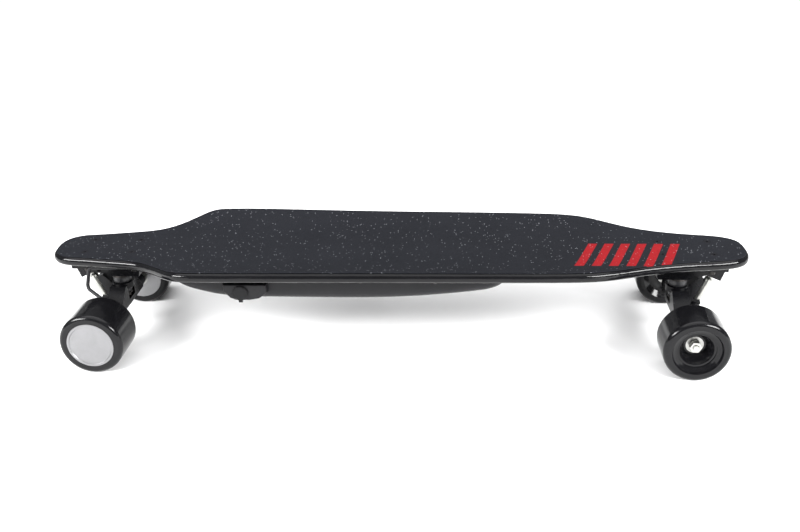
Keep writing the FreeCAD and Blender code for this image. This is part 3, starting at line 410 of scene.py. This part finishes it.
def tube_tree(name):
    """A node tree that rounds a polyline's corners and runs a round jacket along it."""
    tree = bpy.data.node_groups.new(name, "GeometryNodeTree")
    sockets = {}
    for label, kind in (("Path", "NodeSocketGeometry"), ("Radius", "NodeSocketFloat"),
                        ("Bend", "NodeSocketFloat"), ("Jacket", "NodeSocketMaterial")):
        sockets[label] = tree.interface.new_socket(label, in_out="INPUT", socket_type=kind).identifier
    tree.interface.new_socket("Tube", in_out="OUTPUT", socket_type="NodeSocketGeometry")

    def add(kind, **settings):
        node = tree.nodes.new(kind)
        for key, value in settings.items():
            setattr(node, key, value)
        return node

    given, done = add("NodeGroupInput"), add("NodeGroupOutput")
    line = add("GeometryNodeMeshToCurve")
    bend = add("GeometryNodeFilletCurve", mode="POLY")
    bend.inputs["Count"].default_value = 12
    ring = add("GeometryNodeCurvePrimitiveCircle", mode="RADIUS")
    ring.inputs["Resolution"].default_value = 24
    tube = add("GeometryNodeCurveToMesh")
    tube.inputs["Fill Caps"].default_value = True
    smooth = add("GeometryNodeSetShadeSmooth")
    real = add("GeometryNodeRealizeInstances")
    coat = add("GeometryNodeSetMaterial")
    joins = ((given, "Path", line, "Mesh"), (line, "Curve", bend, "Curve"),
             (given, "Bend", bend, "Radius"), (bend, "Curve", tube, "Curve"),
             (given, "Radius", ring, "Radius"), (ring, "Curve", tube, "Profile Curve"),
             (tube, "Mesh", smooth, "Geometry"), (smooth, "Geometry", real, "Geometry"),
             (real, "Geometry", coat, "Geometry"), (given, "Jacket", coat, "Material"),
             (coat, "Geometry", done, "Tube"))
    for first, out, second, into in joins:
        tree.links.new(first.outputs[out], second.inputs[into])
    return tree, sockets


tubes, sockets = tube_tree("lead_tube")
thick, bend_radius, clip_y, drop_y = 0.0025, 0.007, 0.031, 0.034
drop_x, foot_x, foot_up, entry_up = 0.028, 0.034, 0.076, 0.066
for side_name, side in (("left", 1), ("right", -1)):
    lead = "rear_%s_motor_lead" % side_name
    low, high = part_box(lead)
    spin = [joint for joint in frame["joints"] if joint["name"] == "rear_left_spin"][0]
    axle_x = spin["pos_m"][0]
    run_y = side * clip_y
    entry_y = side * (max(abs(low.y), abs(high.y)) - thick)
    path = [(high.x - thick, run_y, high.z - 0.0105), (high.x - thick, run_y, high.z - thick),
            (axle_x - drop_x, run_y, high.z - thick), (axle_x - foot_x, side * drop_y, foot_up),
            (axle_x, entry_y, entry_up), (axle_x, entry_y, low.z)]
    line_mesh = bpy.data.meshes.new(lead + "_path")
    line_mesh.from_pydata(path, [(step, step + 1) for step in range(5)], [])
    line = bpy.data.objects.new(lead + "_path", line_mesh)
    scene.collection.objects.link(line)
    grown = line.modifiers.new("tube", "NODES")
    grown.node_group = tubes
    grown[sockets["Radius"]] = thick
    grown[sockets["Bend"]] = bend_radius
    grown[sockets["Jacket"]] = jacket
    bpy.context.view_layer.update()
    made = bpy.data.meshes.new_from_object(line.evaluated_get(bpy.context.evaluated_depsgraph_get()))
    line.modifiers.remove(grown)
    bpy.data.objects.remove(line)
    tube = bpy.data.objects.new(lead + "_jacket", made)
    scene.collection.objects.link(tube)
    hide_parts(lead)
    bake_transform(tube)

# ---------------------------------------------------------------- tub
# Injection-moulded tub with a fine spark-eroded texture, screwed under the deck. Its sides are
# slightly rubbed, and the power button is glossier from the same black plastic.

tub, shader, spot = new_finish("tub_plastic", Specular_IOR_Level=0.16)
rub = spot.noise(18.0, 5.0, 0.65)
feed(shader, Base_Color=rub.mix((0.006, 0.006, 0.007), (0.014, 0.014, 0.0155)),
     Roughness=0.34 + rub * 0.16, Normal=spot.noise(1100.0, 2.0).bump(0.16, 0.0004))
dress(tub, "enclosure")

button, shader, spot = new_finish("button_plastic", Specular_IOR_Level=0.5)
feed(shader, Base_Color=spot.noise(120.0, 3.0).mix((0.020, 0.020, 0.022), (0.040, 0.040, 0.043)),
     Roughness=0.18 + spot.noise(260.0, 3.0) * 0.16, Normal=spot.noise(900.0).bump(0.05, 0.0003))
dress(button, "power_button", "charge_socket", "cell_holder")

# ---------------------------------------------------------------- battery and controller
# Cells in printed shrink sleeve, glass-fibre boards with green solder mask, and a mill-finish
# aluminium plate that carries the controller's heat to the tub.

sleeve, shader, spot = new_finish("cell_sleeve", Specular_IOR_Level=0.5)
feed(shader, Base_Color=spot.noise(60.0, 3.0).mix((0.02, 0.16, 0.08), (0.04, 0.26, 0.13)),
     Roughness=0.26 + spot.noise(150.0, 3.0) * 0.2, Normal=spot.noise(400.0).bump(0.08, 0.0004))
dress(sleeve, "battery_cells")

board, shader, spot = new_finish("circuit_board", Specular_IOR_Level=0.5)
tracks = spot.node("TexBrick", {}, {"Vector": spot, "Scale": 160.0, "Mortar Size": 0.05}, "Fac")
feed(shader, Base_Color=tracks.mix((0.012, 0.11, 0.05), (0.03, 0.22, 0.10)),
     Roughness=0.32 + spot.noise(300.0) * 0.2, Normal=tracks.bump(0.3, 0.0001))
dress(board, "battery_board", "motor_controller")

plate, shader, spot = new_finish("mill_aluminium", Metallic=1.0)
rolled = spot.node("Mapping", {}, {0: spot, "Scale": (8, 500, 8)}).noise(4.0, 3.0)
feed(shader, Base_Color=rolled.mix((0.55, 0.55, 0.56), (0.72, 0.72, 0.73)), Roughness=0.3 + rolled * 0.25,
     Normal=rolled.bump(0.1, 0.0002))
dress(plate, "heat_spreader")
